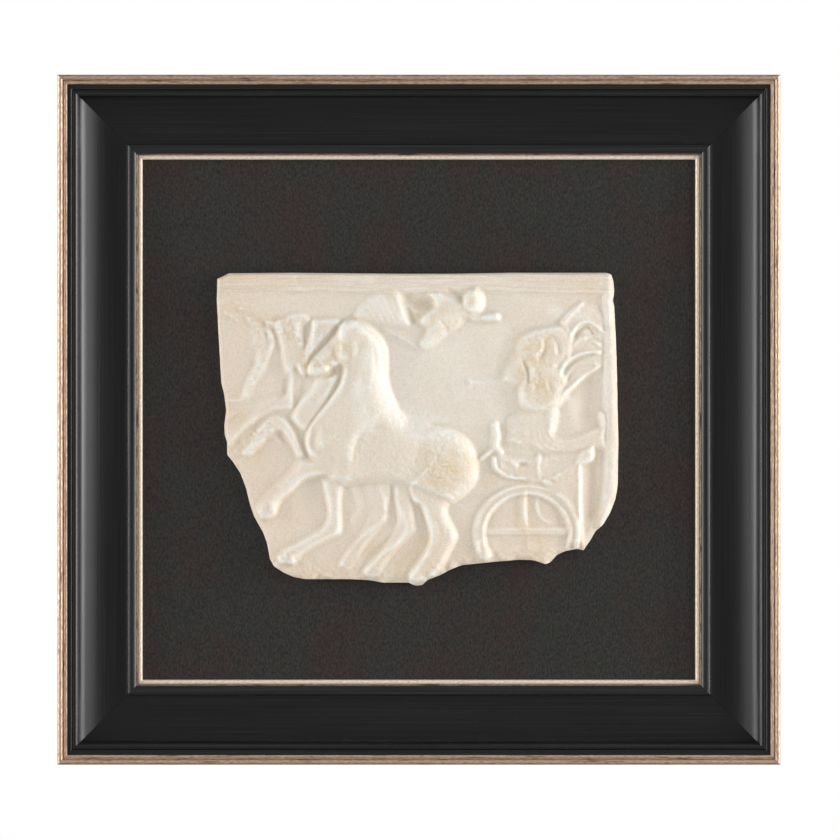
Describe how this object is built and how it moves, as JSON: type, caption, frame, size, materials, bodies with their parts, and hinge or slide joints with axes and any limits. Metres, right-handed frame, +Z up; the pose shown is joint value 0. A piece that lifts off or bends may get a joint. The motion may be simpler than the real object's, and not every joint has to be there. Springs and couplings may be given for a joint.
{
  "type": "framed marble relief plaque",
  "caption": "Broken marble relief of a horse-drawn chariot with a flying figure, on a dark board in a wide scooped black and gilt frame made to hang on a wall.",
  "frame": {"origin": "middle of the top rail's flat back, on the wall's plane", "axes": "+Z up, +X to the right as seen from the front, -Y out of the wall towards the viewer"},
  "size_m": [0.66, 0.044, 0.63],
  "materials": {
    "frame_finish": "satin black paint on wood, with rubbed gilt on the outer bead and on the sight lip",
    "stained_board": "fine-grained wood, stained very dark brown, matt",
    "marble": "honed creamy marble with warm tan patina and a fine sandy grain"
  },
  "bodies": {
    "root": {"frame_top": "frame_finish", "frame_bottom": "frame_finish", "frame_left": "frame_finish", "frame_right": "frame_finish", "backing_panel": "stained_board", "relief": "marble"}
  },
  "joints": []
}
